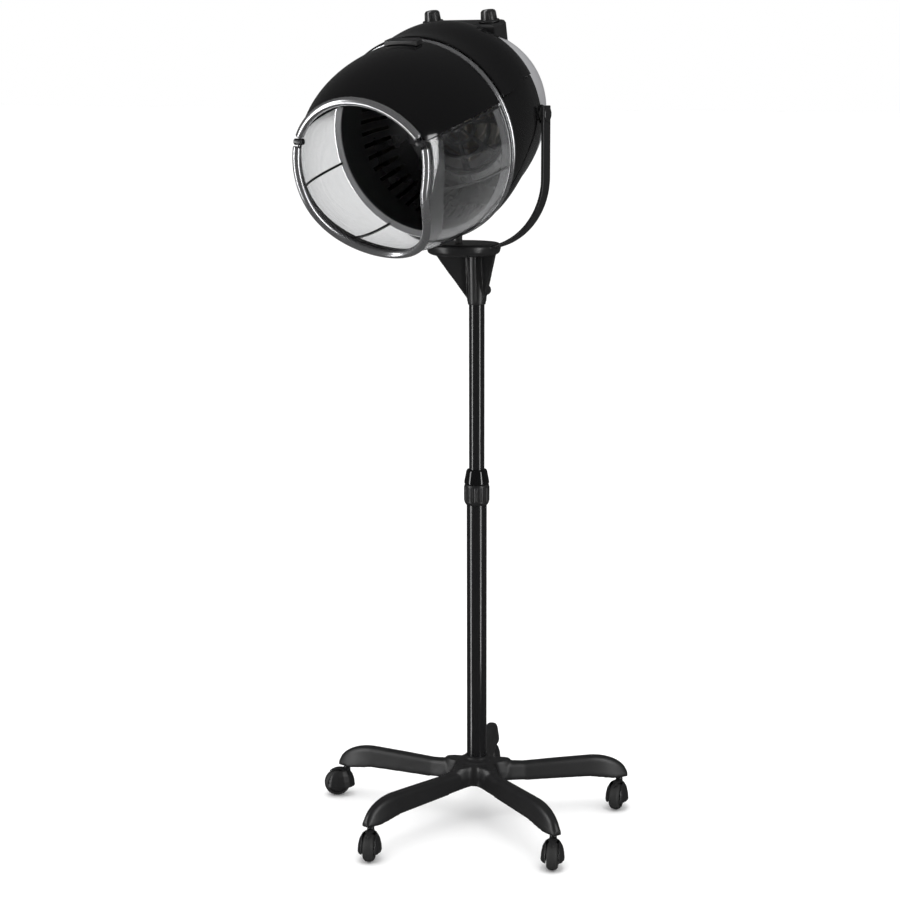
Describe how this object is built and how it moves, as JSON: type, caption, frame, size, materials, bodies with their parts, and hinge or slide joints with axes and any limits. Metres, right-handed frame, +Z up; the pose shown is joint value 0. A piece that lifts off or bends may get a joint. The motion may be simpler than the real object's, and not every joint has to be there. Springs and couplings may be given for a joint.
{
  "type": "hood hair dryer",
  "caption": "Free-standing salon hair dryer: a tilting hood with a clear hinged visor on a forked yoke, on a telescopic column with a star base on casters.",
  "frame": {"origin": "on the column's axis, at the floor", "axes": "+Z up along the column; the hood's opening faces -Y; +X is to the left of a person sitting under the hood"},
  "size_m": [0.5417, 0.6566, 1.3924],
  "materials": {
    "gloss_black": "gloss",
    "satin_black": "satin",
    "liner_black": "satin",
    "painted_tube": "satin",
    "silver": "satin chrome",
    "steel": "zinc plated",
    "clear": "clear",
    "grey": "satin",
    "rubber": "matte",
    "mica": "matte",
    "wire": "matte",
    "nylon": "matte"
  },
  "bodies": {
    "base": {"star_base": "satin_black", "base_bolt": "steel", "lower_tube": "painted_tube", "tube_foot_plug": "steel", "tube_bush": "nylon"},
    "collar": {"collar_grip": "satin_black", "collar_cone": "gloss_black"},
    "mast": {"upper_tube": "painted_tube", "tube_end_plug": "nylon"},
    "yoke": {"yoke": "satin_black", "yoke_clamp_screw": "satin_black", "tilt_buffer": "rubber", "pivot_bolt_left": "steel", "pivot_bolt_right": "steel", "pivot_cap_left": "gloss_black", "pivot_cap_right": "gloss_black", "pivot_washer_left": "rubber", "pivot_washer_right": "rubber"},
    "hood": {"front_shell": "gloss_black", "opening_trim": "silver", "joint_ring": "silver", "rear_shell": "gloss_black", "top_cover": "gloss_black", "rear_cover": "grey", "cord_gland": "rubber", "control_panel": "satin_black", "front_latch": "satin_black", "visor_hinge_left": "satin_black", "visor_hinge_right": "satin_black", "inner_liner": "liner_black", "air_diffuser": "liner_black", "heater_frame": "mica", "heater_coil": "wire", "fan_motor": "steel", "motor_bracket": "steel", "timer_switch": "nylon", "thermostat": "nylon"},
    "visor": {"visor_window": "clear", "visor_frame": "satin_black", "visor_rim": "silver"},
    "timer_knob": {"timer_knob": "satin_black"},
    "temperature_knob": {"temperature_knob": "satin_black"},
    "fan": {"fan_impeller": "nylon"},
    "caster_1": {"caster_fork_1": "satin_black"},
    "wheel_1": {"caster_wheel_1": "rubber", "caster_axle_1": "steel"},
    "caster_2": {"caster_fork_2": "satin_black"},
    "wheel_2": {"caster_wheel_2": "rubber", "caster_axle_2": "steel"},
    "caster_3": {"caster_fork_3": "satin_black"},
    "wheel_3": {"caster_wheel_3": "rubber", "caster_axle_3": "steel"},
    "caster_4": {"caster_fork_4": "satin_black"},
    "wheel_4": {"caster_wheel_4": "rubber", "caster_axle_4": "steel"},
    "caster_5": {"caster_fork_5": "satin_black"},
    "wheel_5": {"caster_wheel_5": "rubber", "caster_axle_5": "steel"}
  },
  "joints": [
    {"name": "height_slide", "type": "slide", "parent": "base", "child": "mast", "axis": [0, 0, 1], "range_m": [-0.27, 0.15]},
    {"name": "collar_twist", "type": "hinge", "parent": "base", "child": "collar", "pos_m": [0, 0, 0.58], "axis": [0, 0, 1], "range_deg": [-45, 45]},
    {"name": "head_swivel", "type": "hinge", "parent": "mast", "child": "yoke", "pos_m": [0, 0, 0.95], "axis": [0, 0, 1], "range_deg": [-180, 180]},
    {"name": "hood_tilt", "type": "hinge", "parent": "yoke", "child": "hood", "pos_m": [0, -0.048, 1.2258], "axis": [1, 0, 0], "range_deg": [-45, 8]},
    {"name": "visor_hinge", "type": "hinge", "parent": "hood", "child": "visor", "pos_m": [0, -0.36831, 1.18638], "axis": [1, 0, 0], "range_deg": [-100, 0]},
    {"name": "timer_turn", "type": "hinge", "parent": "hood", "child": "timer_knob", "pos_m": [-0.052, -0.05351, 1.3719], "axis": [0, -0.2284, 0.9736], "range_deg": [-270, 0]},
    {"name": "temperature_turn", "type": "hinge", "parent": "hood", "child": "temperature_knob", "pos_m": [0.052, -0.05351, 1.3719], "axis": [0, -0.2284, 0.9736], "range_deg": [-270, 0]},
    {"name": "fan_spin", "type": "hinge", "parent": "hood", "child": "fan", "pos_m": [0, 0.01974, 1.23039], "axis": [0, -0.9736, -0.2284], "continuous": true},
    {"name": "caster_swivel_1", "type": "hinge", "parent": "base", "child": "caster_1", "pos_m": [-0.09613, 0.24157, 0.06], "axis": [0, 0, 1], "continuous": true},
    {"name": "wheel_spin_1", "type": "hinge", "parent": "caster_1", "child": "wheel_1", "pos_m": [-0.11172, 0.23257, 0.0235], "axis": [0.5, -0.866, 0], "continuous": true},
    {"name": "caster_swivel_2", "type": "hinge", "parent": "base", "child": "caster_2", "pos_m": [-0.25946, -0.01678, 0.06], "axis": [0, 0, 1], "continuous": true},
    {"name": "wheel_spin_2", "type": "hinge", "parent": "caster_2", "child": "wheel_2", "pos_m": [-0.27325, -0.02835, 0.0235], "axis": [0.6428, -0.766, 0], "continuous": true},
    {"name": "caster_swivel_3", "type": "hinge", "parent": "base", "child": "caster_3", "pos_m": [-0.06422, -0.25194, 0.06], "axis": [0, 0, 1], "continuous": true},
    {"name": "wheel_spin_3", "type": "hinge", "parent": "caster_3", "child": "wheel_3", "pos_m": [-0.05719, -0.26851, 0.0235], "axis": [0.9205, 0.3907, 0], "continuous": true},
    {"name": "caster_swivel_4", "type": "hinge", "parent": "base", "child": "caster_4", "pos_m": [0.21977, -0.13893, 0.06], "axis": [0, 0, 1], "continuous": true},
    {"name": "wheel_spin_4", "type": "hinge", "parent": "caster_4", "child": "wheel_4", "pos_m": [0.2268, -0.1555, 0.0235], "axis": [0.9205, 0.3907, 0], "continuous": true},
    {"name": "caster_swivel_5", "type": "hinge", "parent": "base", "child": "caster_5", "pos_m": [0.20004, 0.16608, 0.06], "axis": [0, 0, 1], "continuous": true},
    {"name": "wheel_spin_5", "type": "hinge", "parent": "caster_5", "child": "wheel_5", "pos_m": [0.20286, 0.1483, 0.0235], "axis": [0.9877, 0.1564, 0], "continuous": true}
  ]
}
